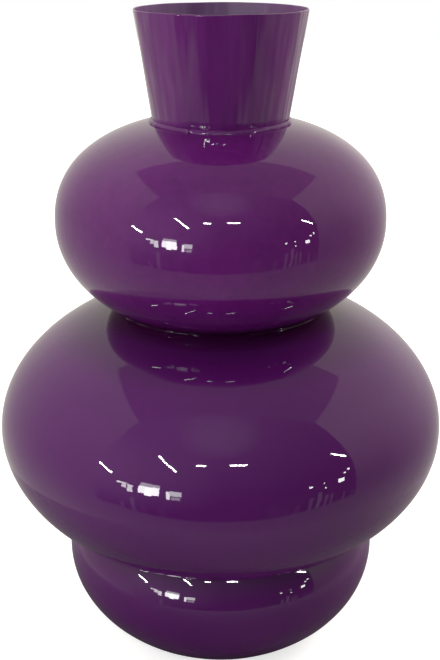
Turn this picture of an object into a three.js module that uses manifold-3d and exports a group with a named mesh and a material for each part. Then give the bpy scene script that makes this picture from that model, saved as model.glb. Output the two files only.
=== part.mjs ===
// Flower vase of enamelled sheet steel: a flared neck on a stack of three hollow bulbs.
// Each bulb is two spun half shells welded round the equator. The large bulb in the middle has two
// like halves, and the upper bulb and the foot have flatter halves on top. The neck is a cone
// rolled from flat sheet. Weld beads join the neck and the bulbs, whose insides form one hollow.
// Millimetres, +Z up, the origin in the middle of the face that the vase stands on.
import * as THREE from "three";
import { mergeVertices } from "three/addons/utils/BufferGeometryUtils.js";
import Module from "manifold-3d";

// Sheet and fit
const WALL = 1.2; // steel with its enamel on both sides
const CLEARANCE = 0.2; // hairline between pieces that a weld holds together

// Bulbs, outside. Fullness 2 is an ellipse, and a larger one has squarer shoulders.
const UPPER_RADIUS = 100.6;
const UPPER_TOP_HALF_HEIGHT = 63;
const UPPER_TOP_FULLNESS = 2.33;
const UPPER_BOTTOM_HALF_HEIGHT = 69.3;
const UPPER_BOTTOM_FULLNESS = 2.02;
const LARGE_RADIUS = 140.6;
const LARGE_HALF_HEIGHT = 89;
const LARGE_FULLNESS = 2;
const FOOT_RADIUS = 100.8;
const FOOT_TOP_HALF_HEIGHT = 59;
const FOOT_TOP_FULLNESS = 2;
const FOOT_BOTTOM_HALF_HEIGHT = 72;
const FOOT_BOTTOM_FULLNESS = 2.04;
const SEAM_WIDTH = 2; // weld round a bulb's equator, ground flush outside
const SEAM_ROOT = 0.8; // how far that weld stands proud inside

// Base and joints
const BASE_RADIUS = 62.6; // where the foot meets the surface that it stands on
const BASE_RING_WIDTH = 10;
const BASE_DISH = 2; // rise of the base inside its ring
const BASE_DISH_SLOPE_WIDTH = 6;
const FOOT_JOINT_HEIGHT = 21.2; // from the foot's equator up to the large bulb
const WAIST_RADIUS = 65.8; // where the upper bulb meets the large bulb

// Neck
const NECK_BOTTOM_RADIUS = 40.6;
const NECK_TOP_RADIUS = 50.9;
const NECK_HEIGHT = 64.1;
const NECK_SEAM_WIDTH = 2.4;

// Weld beads: how far each runs out along the two sheets that it joins, and its crown or dip
const NECK_BEAD_RISE = 1.6; // up the neck
const NECK_BEAD_LEG = 3; // out over the upper bulb
const NECK_BEAD_CROWN = 1.1;
const WAIST_BEAD_LEG = 2;
const FOOT_BEAD_LEG = 2.4;
const GROOVE_BEAD_DIP = 0.5; // hollow of the beads between bulbs

// Facets
const ROUND_STEPS = 48;
const SKIN_STEPS = 7;
const LINING_STEPS = 5;
const CROWN_STEPS = 3;

// Enamel
const PURPLE = 0x5b2266;
const GLOSS_ROUGHNESS = 0.08;

// Bulb shapes

const outside = (radius, halfHeight, fullness) => ({ radius, halfHeight, fullness });
const inside = (bulb) => outside(bulb.radius - WALL, bulb.halfHeight - WALL, bulb.fullness);
const UPPER_TOP = outside(UPPER_RADIUS, UPPER_TOP_HALF_HEIGHT, UPPER_TOP_FULLNESS);
const UPPER_BOTTOM = outside(UPPER_RADIUS, UPPER_BOTTOM_HALF_HEIGHT, UPPER_BOTTOM_FULLNESS);
const LARGE = outside(LARGE_RADIUS, LARGE_HALF_HEIGHT, LARGE_FULLNESS);
const FOOT_TOP = outside(FOOT_RADIUS, FOOT_TOP_HALF_HEIGHT, FOOT_TOP_FULLNESS);
const FOOT_BOTTOM = outside(FOOT_RADIUS, FOOT_BOTTOM_HALF_HEIGHT, FOOT_BOTTOM_FULLNESS);

// A bulb's radius at a height from its equator, and the height at a radius.
function radiusAt({ radius, halfHeight, fullness }, height) {
  return radius * (1 - (height / halfHeight) ** fullness) ** (1 / fullness);
}
function heightAt({ radius, halfHeight, fullness }, r) {
  return halfHeight * (1 - (r / radius) ** fullness) ** (1 / fullness);
}

// The angle under level at which a bulb's skin falls away from its top at a radius.
function fallAt({ radius, halfHeight, fullness }, r) {
  const share = (r / radius) ** fullness;
  const slope = (halfHeight / r) * share * (1 - share) ** (1 / fullness - 1);
  return Math.atan(slope);
}

// Points along a bulb's section between two heights above its equator.
function arc(bulb, fromHeight, toHeight, steps) {
  const angleAt = (h) => Math.asin((h / bulb.halfHeight) ** (bulb.fullness / 2));
  const from = angleAt(fromHeight);
  const sweep = angleAt(toHeight) - from;
  const points = [];
  for (let i = 0; i <= steps; i++) {
    const t = from + (sweep * i) / steps;
    const r = bulb.radius * Math.cos(t) ** (2 / bulb.fullness);
    const z = bulb.halfHeight * Math.sin(t) ** (2 / bulb.fullness);
    points.push([r, z]);
  }
  return points;
}

const upsideDown = (section) => section.map(([r, z]) => [r, -z]).reverse();

// Heights of the stack, from the base up

const FOOT_Z = heightAt(FOOT_BOTTOM, BASE_RADIUS);
const FOOT_JOINT_RADIUS = radiusAt(FOOT_TOP, FOOT_JOINT_HEIGHT);
const FOOT_JOINT_Z = FOOT_Z + FOOT_JOINT_HEIGHT;
const LARGE_Z = FOOT_JOINT_Z + CLEARANCE + heightAt(LARGE, FOOT_JOINT_RADIUS);
const WAIST_Z = LARGE_Z + heightAt(LARGE, WAIST_RADIUS);
const UPPER_Z = WAIST_Z + CLEARANCE + heightAt(UPPER_BOTTOM, WAIST_RADIUS);
const NECK_SEAT_Z = UPPER_Z + heightAt(UPPER_TOP, NECK_BOTTOM_RADIUS);
const NECK_Z = NECK_SEAT_Z + CLEARANCE;

// Solids and the pieces that hold them

// A closed section in (radius, height), anticlockwise, turned about the vertical axis.
function revolve(section) {
  const points = section.map(([r, z]) => new THREE.Vector2(r, z));
  const onAxis = points[0].x === 0;
  if (!onAxis) points.push(points[0].clone());
  return new THREE.LatheGeometry(points, ROUND_STEPS).rotateX(Math.PI / 2);
}

function piece(name, geometry, z = 0) {
  const enamel = { color: PURPLE, roughness: GLOSS_ROUGHNESS, metalness: 0 };
  const mesh = new THREE.Mesh(geometry, new THREE.MeshStandardMaterial(enamel));
  mesh.name = name;
  mesh.position.z = z;
  return mesh;
}

function stack(z, ...pieces) {
  const group = new THREE.Group();
  group.position.z = z;
  return group.add(...pieces);
}

// Bulbs

// The half shell above a bulb's equator, cut open round a joint of the given radius. The cut
// has a level land, one wall wide, for the next piece to stand on.
function openHalf(bulb, jointRadius) {
  const lining = inside(bulb);
  const edge = SEAM_WIDTH / 2;
  const holeRadius = jointRadius - WALL;
  const jointHeight = heightAt(bulb, jointRadius);
  return [
    ...arc(bulb, edge, jointHeight, SKIN_STEPS),
    [holeRadius, jointHeight],
    ...arc(lining, heightAt(lining, holeRadius), edge, LINING_STEPS),
  ];
}

// The half shell under the foot's equator, closed by a base that stands on a flat ring.
function closedHalf(bulb) {
  const lining = inside(bulb);
  const edge = SEAM_WIDTH / 2;
  const bottom = -heightAt(bulb, BASE_RADIUS);
  const floor = bottom + WALL;
  const ringRadius = BASE_RADIUS - BASE_RING_WIDTH;
  const dishRadius = ringRadius - BASE_DISH_SLOPE_WIDTH;
  return [
    [0, bottom + BASE_DISH],
    [dishRadius, bottom + BASE_DISH],
    [ringRadius, bottom],
    ...upsideDown(arc(bulb, edge, -bottom, SKIN_STEPS)),
    ...upsideDown(arc(lining, -floor, edge, LINING_STEPS)),
    [ringRadius, floor],
    [dishRadius, floor + BASE_DISH],
    [0, floor + BASE_DISH],
  ];
}

// The weld that fills the gap between two halves, with its root inside the bulb.
function seamSection(radius) {
  const edge = SEAM_WIDTH / 2 - CLEARANCE;
  const lining = radius - WALL;
  return [
    [lining, -edge],
    [radius, -edge],
    [radius, edge],
    [lining, edge],
    [lining - SEAM_ROOT, 0],
  ];
}

// Two half shells, by their sections, and the weld round the equator between them.
function weldedBulb(name, z, radius, topSection, bottomSection) {
  return stack(
    z,
    piece(`${name}_top_shell`, revolve(topSection)),
    piece(`${name}_seam_weld`, revolve(seamSection(radius))),
    piece(`${name}_bottom_shell`, revolve(bottomSection)),
  );
}

function openBulb(name, z, top, topRadius, bottom, bottomRadius) {
  const bottomSection = upsideDown(openHalf(bottom, bottomRadius));
  return weldedBulb(name, z, top.radius, openHalf(top, topRadius), bottomSection);
}

function footBulb() {
  const topSection = openHalf(FOOT_TOP, FOOT_JOINT_RADIUS);
  return weldedBulb("foot", FOOT_Z, FOOT_RADIUS, topSection, closedHalf(FOOT_BOTTOM));
}

// Weld beads

// A bead from its root out to a toe on each sheet, with a round crown between the toes. A crown
// under zero is a hollow.
function beadSection(root, lowToe, highToe, crownHeight) {
  const low = new THREE.Vector2(...lowToe);
  const high = new THREE.Vector2(...highToe);
  const across = high.clone().sub(low).normalize();
  const outward = new THREE.Vector2(across.y, -across.x);
  const pull = low.clone().lerp(high, 0.5).addScaledVector(outward, 2 * crownHeight);
  const crown = new THREE.QuadraticBezierCurve(low, pull, high).getPoints(CROWN_STEPS);
  return [root, ...crown.map(({ x, y }) => [x, y])];
}

// A bead in the groove where one bulb stands on another, measured from the lower bulb's edge.
function grooveBead(name, jointZ, jointRadius, leg, below, above) {
  const lowFall = fallAt(below, jointRadius);
  const highFall = fallAt(above, jointRadius);
  const root = [jointRadius + CLEARANCE, CLEARANCE / 2];
  const lowToe = [jointRadius + leg * Math.cos(lowFall), CLEARANCE - leg * Math.sin(lowFall)];
  const highToe = [jointRadius + leg * Math.cos(highFall), leg * Math.sin(highFall)];
  return piece(name, revolve(beadSection(root, lowToe, highToe, -GROOVE_BEAD_DIP)), jointZ);
}

// The bead round the foot of the neck, measured from the upper bulb's edge.
function neckBead() {
  const fall = fallAt(UPPER_TOP, NECK_BOTTOM_RADIUS);
  const root = [NECK_BOTTOM_RADIUS + CLEARANCE, CLEARANCE];
  const lowToe = [
    NECK_BOTTOM_RADIUS + NECK_BEAD_LEG * Math.cos(fall),
    CLEARANCE - NECK_BEAD_LEG * Math.sin(fall),
  ];
  const highToe = [neckRadius(NECK_BEAD_RISE) + CLEARANCE, CLEARANCE + NECK_BEAD_RISE];
  const section = beadSection(root, lowToe, highToe, NECK_BEAD_CROWN);
  return piece("neck_weld_bead", revolve(section), NECK_SEAT_Z);
}

// Neck

function neckRadius(height) {
  return THREE.MathUtils.lerp(NECK_BOTTOM_RADIUS, NECK_TOP_RADIUS, height / NECK_HEIGHT);
}

const wasm = await Module();
wasm.setup();

function toSolid(geometry) {
  const bare = geometry.clone().deleteAttribute("normal").deleteAttribute("uv");
  const merged = mergeVertices(bare);
  const vertProperties = merged.attributes.position.array;
  const triVerts = new Uint32Array(merged.index.array);
  return new wasm.Manifold(new wasm.Mesh({ numProp: 3, vertProperties, triVerts }));
}

function toGeometry(solid) {
  const { vertProperties, triVerts } = solid.getMesh();
  return new THREE.BufferGeometry()
    .setAttribute("position", new THREE.BufferAttribute(vertProperties, 3))
    .setIndex(new THREE.BufferAttribute(triVerts, 1));
}

// A block through the back wall of the neck, as wide as given and past both of its ends.
function seamBlock(width) {
  const reach = Math.max(NECK_BOTTOM_RADIUS, NECK_TOP_RADIUS) + WALL;
  const block = new THREE.BoxGeometry(width, reach, NECK_HEIGHT + 2 * WALL);
  return toSolid(block.translate(0, reach / 2, NECK_HEIGHT / 2));
}

// A cone rolled from flat sheet, open along the back, and the weld that closes it.
function neck() {
  const cone = toSolid(
    revolve([
      [NECK_BOTTOM_RADIUS - WALL, 0],
      [NECK_BOTTOM_RADIUS, 0],
      [NECK_TOP_RADIUS, NECK_HEIGHT],
      [NECK_TOP_RADIUS - WALL, NECK_HEIGHT],
    ]),
  );
  const sheet = cone.subtract(seamBlock(NECK_SEAM_WIDTH + 2 * CLEARANCE));
  const weld = cone.intersect(seamBlock(NECK_SEAM_WIDTH));
  return stack(
    NECK_Z,
    piece("neck", toGeometry(sheet)),
    piece("neck_seam_weld", toGeometry(weld)),
  );
}

// The vase, from the base up

const vase = stack(
  0,
  footBulb(),
  grooveBead("foot_weld_bead", FOOT_JOINT_Z, FOOT_JOINT_RADIUS, FOOT_BEAD_LEG, FOOT_TOP, LARGE),
  openBulb("lower_bulb", LARGE_Z, LARGE, WAIST_RADIUS, LARGE, FOOT_JOINT_RADIUS),
  grooveBead("waist_weld_bead", WAIST_Z, WAIST_RADIUS, WAIST_BEAD_LEG, LARGE, UPPER_BOTTOM),
  openBulb("upper_bulb", UPPER_Z, UPPER_TOP, NECK_BOTTOM_RADIUS, UPPER_BOTTOM, WAIST_RADIUS),
  neckBead(),
  neck(),
);

export default vase;
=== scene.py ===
"""Looks of a flower vase of enamelled sheet steel, in metres.

A fine skin stands for each shell, weld and neck sheet of the frame. The bulbs keep the gentle
unevenness of spun steel, the neck the long streaks of a rolled cone and the welds their lumps and
runs, all under one glossy purple enamel.
"""

import math

import bpy
import numpy as np
from mathutils import Matrix, Vector


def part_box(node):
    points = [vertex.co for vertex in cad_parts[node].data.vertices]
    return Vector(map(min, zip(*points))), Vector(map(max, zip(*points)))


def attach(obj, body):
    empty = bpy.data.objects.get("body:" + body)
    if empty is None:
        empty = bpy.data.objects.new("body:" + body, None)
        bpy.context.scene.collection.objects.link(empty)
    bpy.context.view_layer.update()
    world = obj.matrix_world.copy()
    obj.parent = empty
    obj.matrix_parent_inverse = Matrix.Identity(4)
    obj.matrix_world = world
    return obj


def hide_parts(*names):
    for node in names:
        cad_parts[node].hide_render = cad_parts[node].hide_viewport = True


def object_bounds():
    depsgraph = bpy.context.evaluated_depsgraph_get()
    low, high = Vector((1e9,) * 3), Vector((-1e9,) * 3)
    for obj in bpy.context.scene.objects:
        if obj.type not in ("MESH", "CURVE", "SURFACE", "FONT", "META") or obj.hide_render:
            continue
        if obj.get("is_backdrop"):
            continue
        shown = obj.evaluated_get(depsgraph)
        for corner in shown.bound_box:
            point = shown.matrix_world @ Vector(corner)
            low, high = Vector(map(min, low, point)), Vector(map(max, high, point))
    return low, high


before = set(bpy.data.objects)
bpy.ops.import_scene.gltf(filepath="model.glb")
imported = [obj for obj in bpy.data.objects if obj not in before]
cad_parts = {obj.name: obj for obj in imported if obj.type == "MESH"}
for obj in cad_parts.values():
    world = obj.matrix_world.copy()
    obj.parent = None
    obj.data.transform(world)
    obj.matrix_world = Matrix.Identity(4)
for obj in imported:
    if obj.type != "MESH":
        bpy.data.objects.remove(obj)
cad_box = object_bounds()

MM = 0.001
BODY = "root"
WHITE = (1, 1, 1)
LEVEL = (1, 1, 0)

# Sheet and bulbs: each half's height and fullness. Fullness 2 is an ellipse, and a larger one has
# squarer shoulders.
WALL = 1.2 * MM
UPPER_TOP = (63 * MM, 2.33)
UPPER_BOTTOM = (69.3 * MM, 2.02)
LARGE_HALF = (89 * MM, 2.0)
FOOT_TOP = (59 * MM, 2.0)
FOOT_BOTTOM = (72 * MM, 2.04)
SEAM_ROOT = 0.8 * MM

# Base of the foot
BASE_RING_WIDTH = 10 * MM
BASE_DISH = 2 * MM
BASE_DISH_SLOPE_WIDTH = 6 * MM

# Neck and its rim. The waves of the rim are counted round it, and they and the nick fade down the neck.
NECK_SEAM_WIDTH = 2.4 * MM
NECK_SEAM_CROWN = 0.25 * MM
RIM_WAVE = 0.12 * MM
RIM_WAVE_COUNTS = (2, 3, 5, 9)
RIM_WAVE_REACH = 12 * MM
RIM_WAVE_SEED = 3
RIM_NICK = 0.3 * MM
RIM_NICK_WIDTH = 1.0 * MM
RIM_NICK_FADE = 8

# Weld beads. A crown stands out from the line between a bead's two toes. Lumps and runs are given by
# degrees round from the front to the right, height and width.
NECK_BEAD_RISE = 1.6 * MM
NECK_BEAD = {
    "crown": 1.0 * MM,
    "fullness": 0.6,
    "lumps": [(-27, 0.12 * MM, 4 * MM), (31, 0.15 * MM, 3 * MM)],
    "runs": [(-24.7, 0.35 * MM, 0.9 * MM), (128, 0.3 * MM, 1.1 * MM), (0, 0.4 * MM, 24 * MM)],
    "seed": 21,
}
GROOVE_BEAD = {"crown": -1.2 * MM, "fullness": 1.0, "runs": []}
WAIST_LUMPS = [(-12.4, 0.7 * MM, 1.6 * MM), (32.5, 0.5 * MM, 1.8 * MM), (-57, 0.6 * MM, 1.5 * MM)]
WAIST_BEAD = {**GROOVE_BEAD, "lumps": WAIST_LUMPS, "seed": 22}
FOOT_BEAD = {**GROOVE_BEAD, "lumps": [], "seed": 23}
BEAD_SINK = 0.25 * MM
BEAD_SHARP_ANGLE = math.radians(50)
# Unevenness of a bead, with the counts of its waves round the vase
BEAD_WANDER = 0.06 * MM
LOW_TOE_WAVES = (3, 7, 16, 29)
HIGH_TOE_WAVES = (4, 9, 19, 33)
BEAD_SWELL = 0.08
BEAD_SWELL_WAVES = (3, 8, 14, 23)
BEAD_RIPPLE = 0.025 * MM
BEAD_RIPPLE_PITCH = 4.5 * MM
BEAD_RIPPLE_DRIFT = 2.5
BEAD_RIPPLE_WAVES = (2, 5, 11)

# Unevenness of the sheet: the lengths of its waves, the counts of streaks round the neck, their slopes,
# and how far a streak turns in a metre of height
SPUN_WAVES = (95 * MM, 70 * MM, 55 * MM, 43 * MM, 34 * MM, 26 * MM)
SPUN_SLOPE = math.radians(0.16)
SPUN_SEED = 7
ROLLED_WAVES = (60 * MM, 45 * MM, 33 * MM, 24 * MM, 18 * MM)
ROLLED_SLOPE = math.radians(0.8)
ROLLED_SEED = 5
STREAK_COUNTS = (7, 12, 19, 27, 38, 52, 67)
STREAK_SLOPE = math.radians(1.7)
STREAK_DRIFT = 12.0
STREAK_SEED = 11

# Fineness of the skins
ROUND_STEPS = 240
SKIN_STEPS = 56
LINING_STEPS = 28
RIM_STEPS = 10
SEAM_STEPS = 3
SEAM_ROOT_STEPS = 8
DISH_SLOPE_STEPS = 3
NECK_SEAM_COLUMNS = 13
BEAD_STEPS = 20
BEAD_ROUND_STEPS = 480

# Colours of the enamel: its clouds, its pinholes, painted light inside the vase, painted shade that
# makes it darker and bluer below the waist, and painted shade round the waist on what looks up and
# in the waist's groove
ENAMEL_DEEP = (0.088, 0.0055, 0.110)
ENAMEL_BRIGHT = (0.120, 0.010, 0.146)
ENAMEL_PIT = (0.030, 0.004, 0.036)
# Painted light: the lighter, paler colour inside the vase
ENAMEL_LIT_INSIDE = (0.14, 0.034, 0.18)
# Painted shade: darker and bluer from a little above the waist downward
ENAMEL_LOW_SHADE = (0.076, 0.004, 0.107)
LOW_SHADE_SHARE = 0.75
LOW_SHADE_START = 30 * MM
LOW_SHADE_FADE = 60 * MM
# Painted shade under the waist on what looks up
ENAMEL_WAIST_SHADE = (0.046, 0.003, 0.062)
WAIST_SHADE_REACH = 44 * MM
WAIST_SHADE_TILT = 2
# Painted shade in the waist's groove
ENAMEL_GROOVE_SHADE = (0.032, 0.002, 0.032)
GROOVE_SHADE_REACH = 13 * MM

# Clouds of the enamel: their sizes and contrasts
SPUN_CLOUD = 60 * MM
ROLLED_CLOUD = 20 * MM
WELD_CLOUD = 20 * MM
FINE_CLOUD = 5 * MM
CLOUD_CONTRAST = 2
FINE_CLOUD_CONTRAST = 1.2
CLOUD_LEVEL = 1.1

# Gloss of the enamel: its roughness, and what smears, pinholes and a thin coat add to it
ENAMEL_IOR = 1.5
ROUGHNESS = 0.02
SMEAR_ROUGHNESS = 0.12
SMEAR_SIZE = 38 * MM
SMEAR_LEVEL = 0.45
PIT_ROUGHNESS = 0.3
THIN_ROUGHNESS = 0.42

# Orange peel over a slow swell, pinholes, and thick runs. The depths of swell and pinholes are counted
# in heights of the peel.
PEEL_SIZE = 3.2 * MM
SHELL_PEEL = 0.012 * MM
NECK_PEEL = 0.04 * MM
SWELL_SIZE = 14 * MM
SWELL_DEPTH = 3
PIT_CELL = 17 * MM
PIT_RADIUS = 0.3 * MM
PIT_RARITY = 0.72
PIT_DEPTH = 6
RUN_SIZE = 4.5 * MM
RUN_LEVEL = 0.42
RUN_CONTRAST = 4
NECK_RUNS = 0.5
NECK_GRAIN = (1, 1, 0.07)

# Camera
CAMERA_PLACE = (0, -0.6625, 0.4466)
CAMERA_FALL = 20.19
CAMERA_LENS = 60.556
CAMERA_SENSOR = 36
CAMERA_SHIFT = -0.0009

# Studio: a white tent, seen from its middle, as sizes against its height
TENT_LEFT = 0.66
TENT_RIGHT = 0.85
TENT_FRONT = 0.34
TENT_BACK = 0.45
TENT_LEFT_LIGHT = 0.66
TENT_LEFT_RISE = 0.3
TENT_RIGHT_LIGHT = 0.48
TENT_RIGHT_RISE = 0.85
TENT_RIGHT_DEPTH = 0.5
TENT_MOST_LIGHT = 0.95
TENT_TINT = (1, 0.97, 0.86)
TENT_ROOF_LIGHT = 0.44
TENT_EDGE_SHARPNESS = 36

# The hall in front of the tent, brighter towards its ceiling and to the left. It lights the vase
# less than it shows in it.
HALL_LIGHT = 0.16
HALL_RISE = 0.3
HALL_FADE = 0.5
HALL_LEAST = 0.12
HALL_SPILL = 0.3
WINDOW_GLOW = 0.5
WINDOW_GLOW_HEIGHT = 0.15
WINDOW_GLOW_SIZE = 0.6
CEILING_GLOW = 0.35
CEILING_GLOW_HEIGHT = 0.8
CEILING_GLOW_SIZE = (0.32, 0.2)
# Dim upright blocks low at the hall's sides, fading towards its middle
BLOCKS_LIGHT = 0.6
BLOCKS_ACROSS = 14
BLOCKS_LOW = -0.36
BLOCKS_HIGH = -0.08
BLOCKS_SIDE = 2.4

# Table and floor
TABLE_DIP = -0.486
TABLE_BOW = 0.21
TABLE_LEFT_LIGHT = 0.75
TABLE_RIGHT_LIGHT = 0.52
TABLE_FRONT_LOSS = 0.4
TABLE_SOFTNESS = 0.4
FLOOR_NEAR = 0.28
FLOOR_RADIUS = 4.0
FLOOR_CORNERS = 96
FLOOR_PAINT = 0.6
# Painted shadow: the near floor's paint in the enamel, as a share at its rim, darkening to nothing at its
# middle
FLOOR_RIM_GLOSS = 0.78
FLOOR_GLOW = 0.7
FLOOR_GLOW_REACH = 1.0

# Lamps far off, by the directions of their two ends: degrees round from the front to the right,
# and degrees up
LAMP_DISTANCE = 5.0
TUBE_THICKNESS = 0.8
TUBE_RADIANCE = 180
TUBES = {
    "left_tube": ((-61.3, 14.3), (-53.2, 9.7)),
    "near_left_tube": ((-33.5, 33.7), (-21.7, 22.3)),
    "middle_left_tube": ((-12.3, 30.0), (-7.3, 30.4)),
    "middle_right_tube": ((5.2, 31.2), (13.3, 30.4)),
    "right_tube": ((59.0, 23.4), (65.4, 16.2)),
}
# Strips of window: their left and right edges, their lower and upper ones, and their radiance
PANES = (
    ((-49.5, -46.5), (2.5, 4), 14),
    ((-46.5, -44), (-1, 4), 11),
    ((-43.7, -41), (-4, 3), 12),
    ((-38.5, -35.5), (-3, 4), 20),
    ((-35.5, -32), (-5, 4), 24),
    ((-32, -28.5), (-4, 4), 22),
    ((-38, -28.5), (4, 7), 6),
    ((-25, -23.5), (-6, 2), 16),
    ((-23.5, -18), (-2, 3), 9),
    ((-22.5, -18.5), (-6, -3), 4),
)
# Small lamps: degrees round, degrees up and degrees wide
SPOT_RADIANCE = 20
SPOTS = (
    (42.7, -0.4, 1.6),
    (49.8, -4.2, 1.2),
    (49.5, 0.5, 0.9),
    (58.9, -1.3, 3.2),
    (61.5, 4.2, 1.4),
    (63.9, 6.0, 1.4),
)
# Soft lamps close by, which light the enamel but don't show in it: place, width, watts and tint
SOFT_LAMPS = {
    "front": ((-0.2, -0.45, 0.42), 0.3, 1.1, WHITE),
    "top": ((-0.2, 0.05, 0.9), 0.3, 0.8, (1, 0.97, 0.92)),
    "left": ((-0.8, 0.1, 0.5), 0.4, 2.3, (1, 0.93, 0.82)),
    "right": ((0.7, 0.3, 0.5), 0.4, 5.3, (1, 0.94, 0.85)),
}
SOFT_LAMP_AIM = (0, 0, 0.2)


# Shader maths

class Value:
    """A socket that takes part in Python arithmetic: each operation adds a Math node."""

    def __init__(self, nodes, socket):
        self.nodes = nodes
        self.socket = socket

    def math(self, operation, *terms, clamp=False):
        settings = {"operation": operation, "use_clamp": clamp}
        return self.nodes.node("Math", settings, dict(enumerate(terms)))

    def __add__(self, other):
        return self.math("ADD", self, other)

    def __sub__(self, other):
        return self.math("SUBTRACT", self, other)

    def __rsub__(self, other):
        return self.math("SUBTRACT", other, self)

    def __mul__(self, other):
        return self.math("MULTIPLY", self, other)

    def __truediv__(self, other):
        return self.math("DIVIDE", self, other)

    def __rtruediv__(self, other):
        return self.math("DIVIDE", other, self)

    def __lt__(self, other):
        return self.math("LESS_THAN", self, other)

    def __gt__(self, other):
        return self.math("GREATER_THAN", self, other)

    __radd__ = __add__
    __rmul__ = __mul__

    def most(self, other):
        return self.math("MAXIMUM", self, other)

    def least(self, other):
        return self.math("MINIMUM", self, other)

    def floor(self):
        return self.math("FLOOR", self)

    def held(self):
        """The value kept between 0 and 1."""
        return self.math("ADD", self, 0, clamp=True)


class Nodes:
    """The node tree of one finish, or of the studio."""

    def __init__(self, owner):
        owner.use_nodes = True
        self.tree = owner.node_tree
        self.tree.nodes.clear()

    def node(self, kind, settings=None, sockets=None, output=0):
        made = self.tree.nodes.new("ShaderNode" + kind)
        for name, value in (settings or {}).items():
            setattr(made, name, value)
        for key, value in (sockets or {}).items():
            socket = made.inputs[key]
            if isinstance(value, Value):
                self.tree.links.new(value.socket, socket)
            else:
                socket.default_value = value
        return Value(self, made.outputs[output]) if made.outputs else made

    def mix(self, factor, first, second):
        sockets = {0: factor, 6: rgba(first), 7: rgba(second)}
        return self.node("Mix", {"data_type": "RGBA"}, sockets, output=2)

    def vector(self, operation, *terms, output="Vector"):
        return self.node("VectorMath", {"operation": operation}, dict(enumerate(terms)), output)

    def along(self, vector, axis):
        """A vector's part along an axis."""
        return self.node("SeparateXYZ", None, {0: vector}, axis)

    def noise(self, place, size, detail=2.0):
        """Cloudy values about 0.5, with lumps of the given size in metres."""
        return self.node("TexNoise", None, {"Vector": place, "Scale": 1 / size, "Detail": detail})


def rgba(colour):
    return colour if isinstance(colour, Value) else (*colour, 1)


def between(first, second, share):
    return first + (second - first) * share


# Enamel

def enamel(name, peel_height, cloud_size, grain=(1, 1, 1), runs=0.0):
    """Glossy enamel with soft clouds of colour, a fine orange peel and a few pinholes.

    It is thin and less glossy inside the vase, where painted light makes it lighter and paler. Painted
    shade makes it darker and bluer below the waist, and dark round the waist on what looks up and in
    its groove. A grain draws the clouds and the peel out into streaks, and runs are streaks where
    it lies thicker and shines more.
    """
    material = bpy.data.materials.new(name)
    nodes = Nodes(material)
    place = nodes.node("TexCoord", output="Object")
    drawn = nodes.vector("MULTIPLY", place, grain)
    inside = facing_axis(nodes, place)
    pits = pinholes(nodes, place)
    smear = (nodes.noise(drawn, SMEAR_SIZE, detail=4) - SMEAR_LEVEL).held()
    sockets = {
        "Base Color": enamel_colour(nodes, place, clouds(nodes, drawn, cloud_size), inside, pits),
        "Roughness": ROUGHNESS + smear * SMEAR_ROUGHNESS + pits * PIT_ROUGHNESS + inside * THIN_ROUGHNESS,
        "IOR": ENAMEL_IOR,
        "Coat Roughness": ROUGHNESS,
        "Normal": orange_peel(nodes, drawn, pits, peel_height),
    }
    if runs:
        thick = nodes.noise(drawn, RUN_SIZE, detail=1)
        sockets["Coat Weight"] = ((thick - RUN_LEVEL) * RUN_CONTRAST).held() * runs
    shader = nodes.node("BsdfPrincipled", None, sockets)
    nodes.node("OutputMaterial", None, {"Surface": shader})
    return material


def clouds(nodes, drawn, size):
    """How bright the enamel is, in large soft clouds with smaller ones in them."""
    cloud = nodes.noise(drawn, size, detail=3) * CLOUD_CONTRAST
    fine_cloud = nodes.noise(drawn, FINE_CLOUD) * FINE_CLOUD_CONTRAST
    return (cloud + fine_cloud - CLOUD_LEVEL).held()


def enamel_colour(nodes, place, bright, inside, pits):
    groove_shade, shade_under_waist = painted_waist_shade(nodes, place)
    # Inside the vase the layers are painted light; below the waist, round it and in its groove, painted
    # shade
    layers = (
        (bright, ENAMEL_BRIGHT),
        (painted_low_shade(nodes, place), ENAMEL_LOW_SHADE),
        (shade_under_waist, ENAMEL_WAIST_SHADE),
        (groove_shade, ENAMEL_GROOVE_SHADE),
        (inside, ENAMEL_LIT_INSIDE),
        (pits, ENAMEL_PIT),
    )
    colour = ENAMEL_DEEP
    for share, layer in layers:
        colour = nodes.mix(share, colour, layer)
    return colour


def orange_peel(nodes, drawn, pits, peel_height):
    """The normals of a fine peel over a slow swell, with sunken pinholes."""
    peel = nodes.noise(drawn, PEEL_SIZE, detail=1)
    swell = nodes.noise(drawn, SWELL_SIZE, detail=1)
    height = peel + swell * SWELL_DEPTH - pits * PIT_DEPTH
    return nodes.node("Bump", None, {"Strength": 1.0, "Distance": peel_height, "Height": height})


def facing_axis(nodes, place):
    """A mask of the surfaces that look towards the vase's axis."""
    level = nodes.vector("MULTIPLY", place, LEVEL)
    normal = nodes.node("NewGeometry", output="Normal")
    return nodes.vector("DOT_PRODUCT", level, normal, output="Value") < 0


def painted_low_shade(nodes, place):
    """Painted shade: how far the enamel is darker and bluer, from a little above the waist down."""
    start = top_of("waist_weld_bead") + LOW_SHADE_START
    return LOW_SHADE_SHARE * ((start - nodes.along(place, "Z")) / LOW_SHADE_FADE).held()


def painted_waist_shade(nodes, place):
    """Masks of painted shade: in the groove at the waist, and round it on what looks up."""
    radius = nodes.vector("LENGTH", nodes.vector("MULTIPLY", place, LEVEL), output="Value")
    normal = nodes.node("NewGeometry", output="Normal")
    upward = (nodes.along(normal, "Z") * WAIST_SHADE_TILT).held()
    low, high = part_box("waist_weld_bead")
    out = radius - high.x
    up = nodes.along(place, "Z") - (low.z + high.z) / 2
    square = out * out + up * up
    groove_shade = (1 - square / GROOVE_SHADE_REACH ** 2).held()
    shade_under_waist = (1 - square / WAIST_SHADE_REACH ** 2).held() * upward
    return groove_shade, shade_under_waist


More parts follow.
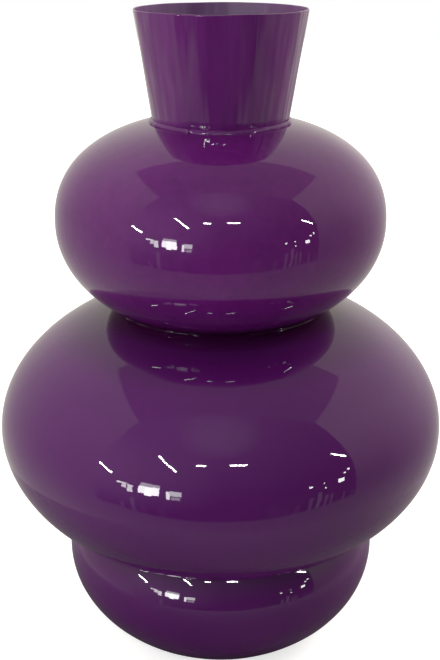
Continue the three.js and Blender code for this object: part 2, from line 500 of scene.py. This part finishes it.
def pinholes(nodes, place):
    """A mask of tiny round pits, one in a few of the cells that the surface is divided into."""
    cells = {"Vector": place, "Scale": 1 / PIT_CELL}
    distance = nodes.node("TexVoronoi", None, cells, output="Distance")
    chance = nodes.node("TexVoronoi", None, cells, output="Color")
    picked = nodes.node("SeparateColor", None, {"Color": chance}) > PIT_RARITY
    return (distance < PIT_RADIUS / PIT_CELL) * picked


# Unevenness: each relief gives heights above the true skin at points, and the heights' gradients

def waves_relief(lengths, slope, seed):
    """Slow waves in every direction, as hammering and firing leave in sheet."""
    dice = np.random.default_rng(seed)
    waves = []
    for length in lengths:
        heading = dice.normal(size=3)
        pull = heading / np.linalg.norm(heading) * 2 * math.pi / length
        waves.append((pull, dice.uniform(0, 2 * math.pi), slope * length / (2 * math.pi)))

    def relief(points):
        heights = np.zeros(points.shape[:-1])
        slopes = np.zeros(points.shape)
        for pull, phase, height in waves:
            turn = points @ pull + phase
            heights += height * np.cos(turn)
            slopes -= height * np.sin(turn)[..., None] * pull
        return heights, slopes

    return relief


def rolled_relief():
    """Long upright streaks over slow waves, as rolling leaves in a cone of sheet."""
    dice = np.random.default_rng(STREAK_SEED)
    streaks = [(n, dice.uniform(0, 2 * math.pi), dice.normal() * STREAK_DRIFT) for n in STREAK_COUNTS]
    waves = waves_relief(ROLLED_WAVES, ROLLED_SLOPE, ROLLED_SEED)

    def relief(points):
        x, y, z = np.moveaxis(points, -1, 0)
        radius = np.hypot(x, y)
        azimuth = np.arctan2(x, -y)
        around = np.stack([-y / radius, x / radius, np.zeros_like(z)], axis=-1)
        heights, slopes = waves(points)
        for count, phase, drift in streaks:
            height = STREAK_SLOPE * radius / count
            turn = count * azimuth + drift * z + phase
            heights += height * np.cos(turn)
            slopes -= (STREAK_SLOPE * np.sin(turn))[..., None] * around
        return heights, slopes

    return relief


def seam_relief(base, cone):
    """The rolled cone's relief with the ridge of its upright weld on the outside."""
    half = NECK_SEAM_WIDTH / 2

    def relief(points):
        heights, slopes = base(points)
        x, y, z = np.moveaxis(points, -1, 0)
        crown = NECK_SEAM_CROWN * (np.hypot(x, y) > cone.radius_at(z) - WALL / 2)
        across = np.clip(x / half, -1, 1)
        room = 1 - across ** 2
        slopes = slopes.copy()
        slopes[..., 0] -= crown * 4 * across * room / half
        return heights + crown * room ** 2, slopes

    return relief


# Sections: a strand is a run of (radius, height) points and the normals there

def strand(points, normals):
    points = np.array(points, float)
    normals = np.broadcast_to(np.array(normals, float), points.shape)
    return points, normals / np.linalg.norm(normals, axis=1, keepdims=True)


def straight(start, end, steps=1):
    """A straight strand, whose normal is on its right."""
    start, end = np.array(start), np.array(end)
    along = end - start
    share = np.linspace(0, 1, steps + 1)[:, None]
    return strand(start + along * share, (along[1], -along[0]))


def backwards(strands):
    return [(points[::-1], normals[::-1]) for points, normals in strands[::-1]]


class Bulb:
    """A squared ellipse turned about the vertical axis, with its equator at height z."""

    def __init__(self, radius, half_height, fullness, z):
        self.radius = radius
        self.half_height = half_height
        self.fullness = fullness
        self.z = z

    def lining(self):
        return Bulb(self.radius - WALL, self.half_height - WALL, self.fullness, self.z)

    def radius_at(self, z):
        share = np.abs((z - self.z) / self.half_height) ** self.fullness
        return self.radius * (1 - share) ** (1 / self.fullness)

    def rise_at(self, radius):
        """How far above or below the equator the skin has that radius."""
        return self.half_height * (1 - (radius / self.radius) ** self.fullness) ** (1 / self.fullness)

    def outward(self, points):
        """Directions square to the skin at (radius, height) points on it or near it."""
        radius, rise = points[..., 0], points[..., 1] - self.z
        power = self.fullness - 1
        across = np.abs(radius / self.radius) ** power / self.radius
        up = np.sign(rise) * np.abs(rise / self.half_height) ** power / self.half_height
        way = np.stack([across, up], axis=-1)
        return way / np.linalg.norm(way, axis=-1, keepdims=True)

    def arc(self, start, end, steps, side=1):
        """A strand along the skin between two rises of one sign; side is -1 for a lining."""
        angles = [math.asin((abs(rise) / self.half_height) ** (self.fullness / 2)) for rise in (start, end)]
        turn = np.linspace(*angles, steps + 1)
        radius = self.radius * np.cos(turn) ** (2 / self.fullness)
        rise = self.half_height * np.sin(turn) ** (2 / self.fullness) * np.sign(start + end)
        points = np.stack([radius, self.z + rise], axis=-1)
        return strand(points, side * self.outward(points))


class Cone:
    """The neck's outside: its radius grows evenly from a joint up to the rim."""

    def __init__(self, bottom, bottom_radius, top, top_radius):
        self.bottom = bottom
        self.bottom_radius = bottom_radius
        self.top = top
        self.flare = math.atan2(top_radius - bottom_radius, top - bottom)

    def radius_at(self, z):
        return self.bottom_radius + (z - self.bottom) * math.tan(self.flare)

    def outward(self, points):
        way = (math.cos(self.flare), -math.sin(self.flare))
        return np.broadcast_to(way, points.shape)


# Meshes

def around_axis(section, azimuths):
    """(radius, height) values turned to azimuths, which run from the front round to the right."""
    radius, height = section[..., 0], section[..., 1]
    x = radius * np.sin(azimuths)
    y = -radius * np.cos(azimuths)
    return np.stack([x, y, np.broadcast_to(height, x.shape)], axis=-1)


class TurnedSkin:
    """A closed section turned about the vertical axis, moved outward by its relief.

    The strands run anticlockwise, each from where the last one ends. A section that starts on the
    axis ends there too. A span gives the azimuths at the sweep's ends by radius, for a piece that
    doesn't go all the way round. A shift moves points up by their places.
    """

    def __init__(self, strands, outward, relief, span=None, shift=None, columns=ROUND_STEPS):
        self.strands = strands
        self.columns = columns
        self.whole = span is None
        on_axis = strands[0][0][0, 0] == 0
        rings = np.concatenate([points[:-1] for points, normals in strands])
        if on_axis:
            rings = np.concatenate([rings, strands[-1][0][-1:]])
        self.azimuths = self.spread(rings[:, 0], span)
        true_skin = around_axis(rings[:, None, :], self.azimuths)
        self.ways = around_axis(outward(rings)[:, None, :], self.azimuths)
        heights, self.slopes = relief(true_skin)
        self.skin = true_skin + heights[..., None] * self.ways
        if shift:
            self.skin[..., 2] += shift(true_skin)
        self.index = np.arange(len(rings) * columns).reshape(len(rings), columns)
        if on_axis:
            self.index[0] = self.index[0, 0]
            self.index[-1] = self.index[-1, 0]

    def spread(self, radius, span):
        """The azimuths of the points of each ring."""
        if self.whole:
            turn = np.linspace(0, 2 * math.pi, self.columns, endpoint=False)
            return np.broadcast_to(turn, (len(radius), self.columns))
        return np.linspace(*span(radius), self.columns, axis=1)

    def corner_normals(self, ring, normal):
        """A strand's normal turned round a ring and bent by the relief."""
        way = around_axis(normal[None, :], self.azimuths[ring])
        lean = np.sum(self.ways[ring] * way, axis=-1, keepdims=True)
        bent = way - lean * self.slopes[ring]
        return bent / np.linalg.norm(bent, axis=-1, keepdims=True)

    def band(self, low, high, low_normal, high_normal):
        """The faces between two rings, each as its corners' numbers with their normals."""
        low_normals = self.corner_normals(low, low_normal)
        high_normals = self.corner_normals(high, high_normal)
        for column in range(self.columns if self.whole else self.columns - 1):
            beside = (column + 1) % self.columns
            yield {
                self.index[low, column]: low_normals[column],
                self.index[low, beside]: low_normals[beside],
                self.index[high, beside]: high_normals[beside],
                self.index[high, column]: high_normals[column],
            }

    def sides(self):
        ring = 0
        for points, normals in self.strands:
            for low_normal, high_normal in zip(normals, normals[1:]):
                yield from self.band(ring, (ring + 1) % len(self.index), low_normal, high_normal)
                ring += 1

    def caps(self):
        """The faces that close the ends of a sweep that doesn't go all the way round."""
        for column, turn in ((0, 1), (self.columns - 1, -1)):
            cap = np.cross(self.ways[0, column], (0, 0, turn))
            yield dict.fromkeys(self.index[::turn, column], cap / np.linalg.norm(cap))

    def mesh(self):
        faces = list(self.sides())
        if not self.whole:
            faces.extend(self.caps())
        numbers = [list(face) for face in faces]
        used = np.unique(np.concatenate(numbers))
        renumber = np.zeros(self.index.size, int)
        renumber[used] = np.arange(len(used))
        mesh = bpy.data.meshes.new("skin")
        mesh.from_pydata(self.skin.reshape(-1, 3)[used], [], [renumber[face] for face in numbers])
        mesh.shade_smooth()
        mesh.normals_split_custom_set([normal for face in faces for normal in face.values()])
        return mesh


def ring_mesh(grid):
    """A mesh closed both ways from a grid of points: rows round the section, columns round the axis."""
    rows, columns = grid.shape[:2]
    index = np.arange(rows * columns).reshape(rows, columns)
    right = np.roll(index, -1, axis=1)
    above = np.roll(index, -1, axis=0)
    corner = np.roll(above, -1, axis=1)
    faces = np.stack([index, right, corner, above], axis=-1).reshape(-1, 4)
    mesh = bpy.data.meshes.new("skin")
    mesh.from_pydata(grid.reshape(-1, 3), [], faces)
    mesh.shade_smooth()
    mesh.set_sharp_from_angle(angle=BEAD_SHARP_ANGLE)
    return mesh


def dress(node, mesh, finish):
    """Puts a skin with its finish in the scene in place of a node of the frame."""
    mesh.name = "enamelled_" + node
    mesh.materials.append(finish)
    piece = bpy.data.objects.new(mesh.name, mesh)
    bpy.context.scene.collection.objects.link(piece)
    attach(piece, BODY)
    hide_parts(node)


def top_of(node):
    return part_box(node)[1].z


def bottom_of(node):
    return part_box(node)[0].z


# Bulbs

def seam_bulb(seam, half_height, fullness):
    low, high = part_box(seam)
    return Bulb(high.x, half_height, fullness, (low.z + high.z) / 2)


def open_half(bulb, edge, joint):
    """Strands of a half shell from its seam edge to its joint, both as heights."""
    up = 1 if joint > bulb.z else -1
    lining = bulb.lining()
    joint_radius = bulb.radius_at(joint)
    hole_radius = joint_radius - WALL
    hole_rise = lining.rise_at(hole_radius) * up
    skin = bulb.arc(edge - bulb.z, joint - bulb.z, SKIN_STEPS)
    inner = lining.arc(hole_rise, edge - bulb.z, LINING_STEPS, side=-1)
    land = strand([skin[0][-1], (hole_radius, joint), inner[0][0]], (0, up))
    rim = strand([inner[0][-1], skin[0][0]], (0, -up))
    strands = [skin, land, inner, rim]
    return strands if up > 0 else backwards(strands)


def shell(node, bulb, finish, relief):
    """The half shell that stands for a node: the seam edge is the end nearer to the equator."""
    low, high = bottom_of(node), top_of(node)
    edge, joint = (low, high) if low > bulb.z else (high, low)
    dress(node, TurnedSkin(open_half(bulb, edge, joint), bulb.outward, relief).mesh(), finish)


def seam_weld(node, bulb, low, high, finish, relief):
    """The weld between two halves, flush outside, with a rounded root inside."""
    lining = bulb.lining()
    skin_low = bulb.arc(bulb.z - low, 0, SEAM_STEPS)
    skin_low = (skin_low[0] * (1, -1) + (0, 2 * bulb.z), skin_low[1] * (1, -1))
    skin_high = bulb.arc(0, high - bulb.z, SEAM_STEPS)
    turn = np.linspace(math.pi / 2, -math.pi / 2, SEAM_ROOT_STEPS + 1)
    root_way = np.stack([-np.cos(turn), np.sin(turn)], axis=-1)
    middle = (lining.radius_at(high), (low + high) / 2)
    root = strand(middle + root_way * (SEAM_ROOT, (high - low) / 2), root_way)
    upper_edge = straight(skin_high[0][-1], root[0][0])
    lower_edge = straight(root[0][-1], skin_low[0][0])
    strands = [skin_low, skin_high, upper_edge, root, lower_edge]
    dress(node, TurnedSkin(strands, bulb.outward, relief).mesh(), finish)


def foot_bottom(node, bulb, finish, relief):
    """The closed half under the foot's equator, on a flat ring round a dished middle."""
    base = bottom_of(node)
    edge = top_of(node)
    lining = bulb.lining()
    floor = base + WALL
    base_radius = bulb.radius_at(base)
    ring_radius = base_radius - BASE_RING_WIDTH
    dish_radius = ring_radius - BASE_DISH_SLOPE_WIDTH
    skin = backwards([bulb.arc(edge - bulb.z, base - bulb.z, SKIN_STEPS)])[0]
    inner = lining.arc(edge - bulb.z, floor - bulb.z, LINING_STEPS, side=-1)
    inner_radius = inner[0][-1, 0]
    underside = [
        strand([(0, base + BASE_DISH), (dish_radius, base + BASE_DISH)], (0, -1)),
        straight((dish_radius, base + BASE_DISH), (ring_radius, base), DISH_SLOPE_STEPS),
        strand([(ring_radius, base), (base_radius, base)], (0, -1)),
    ]
    rim = strand([skin[0][-1], inner[0][0]], (0, 1))
    topside = [
        strand([(inner_radius, floor), (ring_radius, floor)], (0, 1)),
        straight((ring_radius, floor), (dish_radius, floor + BASE_DISH), DISH_SLOPE_STEPS),
        strand([(dish_radius, floor + BASE_DISH), (0, floor + BASE_DISH)], (0, 1)),
    ]
    strands = [*underside, skin, rim, inner, *topside]
    dress(node, TurnedSkin(strands, bulb.outward, relief).mesh(), finish)


def build_bulbs(finish):
    """The three bulbs from the top down. Returns the shape of each half by its node."""
    relief = waves_relief(SPUN_WAVES, SPUN_SLOPE, SPUN_SEED)
    halves = {
        "upper_bulb": (UPPER_TOP, UPPER_BOTTOM),
        "lower_bulb": (LARGE_HALF, LARGE_HALF),
        "foot": (FOOT_TOP, FOOT_BOTTOM),
    }
    bulbs = {}
    for name, (over, under) in halves.items():
        top, seam, bottom = (f"{name}_{part}" for part in ("top_shell", "seam_weld", "bottom_shell"))
        bulbs[top] = seam_bulb(seam, *over)
        bulbs[bottom] = seam_bulb(seam, *under)
        shell(top, bulbs[top], finish, relief)
        seam_weld(seam, bulbs[top], top_of(bottom), bottom_of(top), finish, relief)
        half = foot_bottom if name == "foot" else shell
        half(bottom, bulbs[bottom], finish, relief)
    return bulbs


# Neck

def neck_strands(cone):
    """The cone's wall, with its rim rounded by the enamel."""
    half = WALL / 2
    rim_z = cone.top - half
    rim_middle = (cone.radius_at(rim_z) - half, rim_z)
    turn = np.linspace(-cone.flare, math.pi - cone.flare, RIM_STEPS + 1)
    rim_way = np.stack([np.cos(turn), np.sin(turn)], axis=-1)
    rim = strand(rim_middle + rim_way * half, rim_way)
    foot_out = (cone.bottom_radius, cone.bottom)
    foot_in = (cone.bottom_radius - WALL, cone.bottom)
    return [
        straight(foot_out, rim[0][0], SKIN_STEPS),
        rim,
        straight(rim[0][-1], foot_in, LINING_STEPS),
        strand([foot_in, foot_out], (0, -1)),
    ]


def rim_shift(cone):
    """The rim's slightly uneven height, fading down the neck, with one small nick in front."""
    dice = np.random.default_rng(RIM_WAVE_SEED)
    waves = [(count, dice.uniform(0, 2 * math.pi)) for count in RIM_WAVE_COUNTS]

    def shift(points):
        x, y, z = np.moveaxis(points, -1, 0)
        azimuth = np.arctan2(x, -y)
        near = np.clip(1 - (cone.top - z) / RIM_WAVE_REACH, 0, 1) ** 2
        wave = sum(np.cos(count * azimuth + phase) for count, phase in waves) * RIM_WAVE / len(waves)
        nick = RIM_NICK * np.exp(-(x / RIM_NICK_WIDTH) ** 2) * (y < 0) * near ** RIM_NICK_FADE
        return wave * near - nick

    return shift


def build_neck(cone, finish):
    """The rolled sheet of the neck, and the weld up its back that closes it."""
    strands = neck_strands(cone)
    shift = rim_shift(cone)
    relief = rolled_relief()
    ridged = seam_relief(relief, cone)
    half = NECK_SEAM_WIDTH / 2

    def sheet_span(radius):
        reach = math.pi - np.arcsin(half / radius)
        return -reach, reach

    def weld_span(radius):
        reach = np.arcsin(half / radius)
        return math.pi - reach, math.pi + reach

    sheet = TurnedSkin(strands, cone.outward, relief, sheet_span, shift)
    weld = TurnedSkin(strands, cone.outward, ridged, weld_span, shift, NECK_SEAM_COLUMNS)
    dress("neck", sheet.mesh(), finish)
    dress("neck_seam_weld", weld.mesh(), finish)


# Weld beads

def wander(azimuths, counts, seed):
    """A smooth random line round the axis, between about -1 and 1."""
    dice = np.random.default_rng(seed)
    line = np.zeros_like(azimuths)
    for count in counts:
        line += np.cos(count * azimuths + dice.uniform(0, 2 * math.pi))
    return line / math.sqrt(len(counts))


def lump_line(azimuths, lumps, radius):
    """The heights of round lumps along a bead."""
    line = np.zeros_like(azimuths)
    for degrees, height, width in lumps:
        away = np.remainder(azimuths - math.radians(degrees) + math.pi, 2 * math.pi) - math.pi
        line += height * np.exp(-(away * radius / width) ** 2)
    return line


def crown_line(azimuths, radius, crown, lumps, seed):
    """How far a bead's crown stands out round the axis, with its ripples and lumps."""
    ripple_count = round(2 * math.pi * radius / BEAD_RIPPLE_PITCH)
    drift = BEAD_RIPPLE_DRIFT * wander(azimuths, BEAD_RIPPLE_WAVES, seed)
    line = crown * (1 + BEAD_SWELL * wander(azimuths, BEAD_SWELL_WAVES, seed + 1))
    line += BEAD_RIPPLE * np.cos(azimuths * ripple_count + drift) + lump_line(azimuths, lumps, radius)
    return line


def sunk_toe(skin, z):
    """Points a little under a skin at heights, so that a bead grows out of it."""
    points = np.stack([skin.radius_at(z), z], axis=-1)
    return points - skin.outward(points) * BEAD_SINK


def weld_bead(node, below, above, root, high_toe, finish, crown, fullness, lumps, runs, seed):
    """A bead between two skins, from a wandering toe on each, with a rippled crown between them."""
    azimuths = np.linspace(0, 2 * math.pi, BEAD_ROUND_STEPS, endpoint=False)
    radius = root[0]
    run = lump_line(azimuths, runs, radius)
    low_line = bottom_of(node) - BEAD_WANDER * wander(azimuths, LOW_TOE_WAVES, seed) - run
    high_line = high_toe + BEAD_WANDER * wander(azimuths, HIGH_TOE_WAVES, seed + 1)
    low_edge = sunk_toe(below, low_line)
    high_edge = sunk_toe(above, high_line)
    chord = high_edge - low_edge
    out = np.stack([chord[:, 1], -chord[:, 0]], axis=-1)
    out /= np.linalg.norm(out, axis=1, keepdims=True)
    rise = crown_line(azimuths, radius, crown, lumps, seed + 2)[:, None]
    share = np.linspace(0, 1, BEAD_STEPS + 1)[:, None, None]
    bulge = (4 * share * (1 - share)) ** fullness
    rings = low_edge + chord * share + out * bulge * rise
    root_ring = np.broadcast_to(np.array(root), (1, *low_edge.shape))
    grid = around_axis(np.concatenate([rings, root_ring]), azimuths)
    dress(node, ring_mesh(grid), finish)


def build_beads(bulbs, cone, finish):
    """The raised bead round the neck's foot, and the hollow ones where a bulb stands on another."""
    shoulder = "upper_bulb_top_shell"
    neck_root = (cone.bottom_radius, top_of(shoulder))
    neck_toe = cone.bottom + NECK_BEAD_RISE
    weld_bead("neck_weld_bead", bulbs[shoulder], cone, neck_root, neck_toe, finish, **NECK_BEAD)
    grooves = {
        "waist_weld_bead": ("lower_bulb_top_shell", "upper_bulb_bottom_shell", WAIST_BEAD),
        "foot_weld_bead": ("foot_top_shell", "lower_bulb_bottom_shell", FOOT_BEAD),
    }
    for node, (below, above, form) in grooves.items():
        joint = top_of(below)
        root = (bulbs[below].radius_at(joint), joint)
        weld_bead(node, bulbs[below], bulbs[above], root, top_of(node), finish, **form)


# The vase

def build_vase():
    spun = enamel("enamel_on_spun_shells", SHELL_PEEL, SPUN_CLOUD)
    rolled = enamel("enamel_on_rolled_neck", NECK_PEEL, ROLLED_CLOUD, NECK_GRAIN, NECK_RUNS)
    welded = enamel("enamel_on_welds", SHELL_PEEL, WELD_CLOUD)
    bulbs = build_bulbs(spun)
    seat = top_of("upper_bulb_top_shell")
    seat_radius = bulbs["upper_bulb_top_shell"].radius_at(seat)
    cone = Cone(bottom_of("neck"), seat_radius, top_of("neck"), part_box("neck")[1].x)
    build_neck(cone, rolled)
    build_beads(bulbs, cone, welded)


# Studio

def build_camera():
    data = bpy.data.cameras.new("camera")
    data.lens = CAMERA_LENS
    data.sensor_width = CAMERA_SENSOR
    data.shift_x = CAMERA_SHIFT
    camera = bpy.data.objects.new("camera", data)
    camera.location = CAMERA_PLACE
    camera.rotation_euler = (math.radians(90 - CAMERA_FALL), 0, 0)
    bpy.context.scene.collection.objects.link(camera)
    bpy.context.scene.camera = camera


def build_world():
    """A white tent round the vase, with a dimmer roof, open in front to a hall."""
    world = bpy.data.worlds.new("studio")
    bpy.context.scene.world = world
    nodes = Nodes(world)
    heading = nodes.node("TexCoord", output="Generated")
    x, y, z = (nodes.along(heading, axis) for axis in "XYZ")
    front = y / -TENT_FRONT
    back = y / TENT_BACK
    side = (x / -TENT_LEFT).most(x / TENT_RIGHT)
    roof = edge_mask(z - side.most(front).most(back))
    above_table = edge_mask(z - (TABLE_DIP + TABLE_BOW * x * x))
    opening = edge_mask(front - side.most(z)) * above_table
    glossy = nodes.node("LightPath", output="Is Glossy Ray")
    seen = nodes.node("LightPath", output="Is Camera Ray")
    light = between(tent_light(x, y, z), TENT_ROOF_LIGHT, roof)
    hall = hall_light(x, z) + hall_blocks(nodes, x, y, z)
    light = between(light, hall * between(HALL_SPILL, 1, glossy), opening)
    strength = between(light, 1, seen)
    tint = nodes.mix(opening.most(seen), TENT_TINT, WHITE)
    sky = nodes.node("Background", None, {"Color": tint, "Strength": strength})
    nodes.node("OutputWorld", None, {"Surface": sky})


def edge_mask(lead):
    """A mask of where a lead is above 0, with a soft edge."""
    return (lead * TENT_EDGE_SHARPNESS + 0.5).held()


def tent_light(x, y, z):
    """The light of the tent's walls, going over to that of the table below."""
    rightward = x * 0.5 + 0.5
    left_wall = TENT_LEFT_LIGHT + TENT_LEFT_RISE * z
    right_wall = TENT_RIGHT_LIGHT + TENT_RIGHT_RISE * z + TENT_RIGHT_DEPTH * y.held()
    wall = between(left_wall, right_wall, rightward).least(TENT_MOST_LIGHT)
    table = between(TABLE_LEFT_LIGHT, TABLE_RIGHT_LIGHT, rightward)
    table *= 1 - TABLE_FRONT_LOSS * (y * -1).held()
    return between(wall, table, (z / -TABLE_SOFTNESS).held())


def hall_light(x, z):
    """The light of the bare hall, with a glow on its ceiling and one round the window."""
    light = (HALL_LIGHT + HALL_RISE * z) * (1 - HALL_FADE * x)
    glow_x = x / CEILING_GLOW_SIZE[0]
    glow_z = (z - CEILING_GLOW_HEIGHT) / CEILING_GLOW_SIZE[1]
    light += CEILING_GLOW * (1 - glow_x * glow_x - glow_z * glow_z).held()
    window_z = (z - WINDOW_GLOW_HEIGHT) / WINDOW_GLOW_SIZE
    light += WINDOW_GLOW * (x * -1).held() * (1 - window_z * window_z).held()
    return light.most(HALL_LEAST)


def hall_blocks(nodes, x, y, z):
    """The light of blocks of random shade and height, about half of them dark."""
    number = (x / (y * -1) * BLOCKS_ACROSS).floor()
    dice = nodes.node("TexWhiteNoise", {"noise_dimensions": "1D"}, {"W": number}, "Color")
    shade, rise = (nodes.node("SeparateColor", None, {"Color": dice}, part) for part in ("Red", "Green"))
    within = z < between(BLOCKS_LOW, BLOCKS_HIGH, rise)
    sideways = x * x * BLOCKS_SIDE
    return BLOCKS_LIGHT * (shade * 2 - 1).held() * within * (sideways * sideways).held()


def build_floor():
    """A pale floor that keeps the shadow. Only its near part shows in the enamel."""
    turn = np.linspace(0, 2 * math.pi, FLOOR_CORNERS, endpoint=False)
    circle = np.stack([np.cos(turn), np.sin(turn), 0 * turn], axis=-1)
    near = np.arange(FLOOR_CORNERS)
    far = near + FLOOR_CORNERS
    ring = np.stack([near, far, np.roll(far, -1), np.roll(near, -1)], axis=-1)
    rims = np.concatenate([circle * FLOOR_NEAR, circle * FLOOR_RADIUS])
    paint = floor_paint()
    floor_part("near_floor", circle * FLOOR_NEAR, [near], paint)
    rest = floor_part("far_floor", rims, ring, paint)
    rest.visible_glossy = False


def floor_part(name, points, faces, paint):
    mesh = bpy.data.meshes.new(name)
    mesh.from_pydata(points, [], faces)
    mesh.materials.append(paint)
    part = bpy.data.objects.new(name, mesh)
    bpy.context.scene.collection.objects.link(part)
    part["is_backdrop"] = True
    return part


def floor_paint():
    """Pale paint that looks white far off, with a painted shadow in the enamel, darker towards the vase."""
    material = bpy.data.materials.new("floor_paint")
    nodes = Nodes(material)
    seen = nodes.node("LightPath", output="Is Camera Ray")
    glossy = nodes.node("LightPath", output="Is Glossy Ray")
    place = nodes.node("TexCoord", output="Object")
    reach = nodes.vector("LENGTH", place, output="Value")
    # Painted shadow: in the enamel the near floor darkens towards the vase
    shadowed_reflection = FLOOR_RIM_GLOSS * (reach / FLOOR_NEAR).held()
    paint = nodes.node("BsdfDiffuse", None, {"Color": FLOOR_PAINT * between(1, shadowed_reflection, glossy)})
    far_glow = between(FLOOR_GLOW, 1, (reach / FLOOR_GLOW_REACH).held())
    glow = nodes.node("Emission", None, {"Color": seen * far_glow, "Strength": 1})
    pale = nodes.node("AddShader", None, {0: paint, 1: glow})
    nodes.node("OutputMaterial", None, {"Surface": pale})
    return material


def heading_of(azimuth, elevation):
    """A direction by degrees round from the front to the right, and degrees up."""
    turn, rise = math.radians(azimuth), math.radians(elevation)
    level = math.cos(rise)
    return Vector((math.sin(turn) * level, -math.cos(turn) * level, math.sin(rise)))


def area_lamp(name, place, back, level, size, watts, tint=WHITE):
    """A flat lamp whose back looks along one direction and whose length lies along another."""
    data = bpy.data.lights.new(name, "AREA")
    data.shape = "RECTANGLE"
    data.size, data.size_y = size
    data.energy = watts
    data.color = tint
    back = back.normalized()
    across = back.cross(level).normalized()
    along = across.cross(back)
    turn = Matrix((along, across, back)).transposed().to_4x4()
    turn.translation = place
    lamp = bpy.data.objects.new(name, data)
    lamp.matrix_world = turn
    lamp.visible_camera = False
    bpy.context.scene.collection.objects.link(lamp)
    return lamp


def far_lamp(name, start, end, thickness, radiance):
    """A lamp far off between two directions, facing the vase, that shows in the enamel alone."""
    start, end = (heading_of(*place) * LAMP_DISTANCE for place in (start, end))
    middle = (start + end) / 2
    size = ((end - start).length, LAMP_DISTANCE * math.radians(thickness))
    place = middle + Vector((0, 0, cad_box[1].z / 2))
    lamp = area_lamp(name, place, middle, end - start, size, radiance * math.pi * size[0] * size[1])
    lamp.visible_diffuse = False


def soft_lamp(name, place, width, watts, tint):
    """A square lamp close by, aimed at the vase, that doesn't show in the enamel."""
    place = Vector(place)
    back = place - Vector(SOFT_LAMP_AIM)
    lamp = area_lamp(name, place, back, Vector((0, 0, 1)).cross(back), (width, width), watts, tint)
    lamp.visible_glossy = False


def build_lamps():
    for name, (start, end) in TUBES.items():
        far_lamp(name, start, end, TUBE_THICKNESS, TUBE_RADIANCE)
    for number, ((left, right), (low, high), radiance) in enumerate(PANES):
        middle = (low + high) / 2
        far_lamp(f"pane_{number}", (left, middle), (right, middle), high - low, radiance)
    for number, (azimuth, elevation, width) in enumerate(SPOTS):
        ends = [(azimuth + side * width / 2, elevation) for side in (-1, 1)]
        far_lamp(f"spot_{number}", *ends, width, SPOT_RADIANCE)
    for name, settings in SOFT_LAMPS.items():
        soft_lamp(name, *settings)


build_camera()
build_world()
build_floor()
build_lamps()
build_vase()

bpy.context.scene.view_settings.view_transform = "Standard"

boxes = {"cad": cad_box, "visual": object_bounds()}
{name: [list(corner) for corner in box] for name, box in boxes.items()}
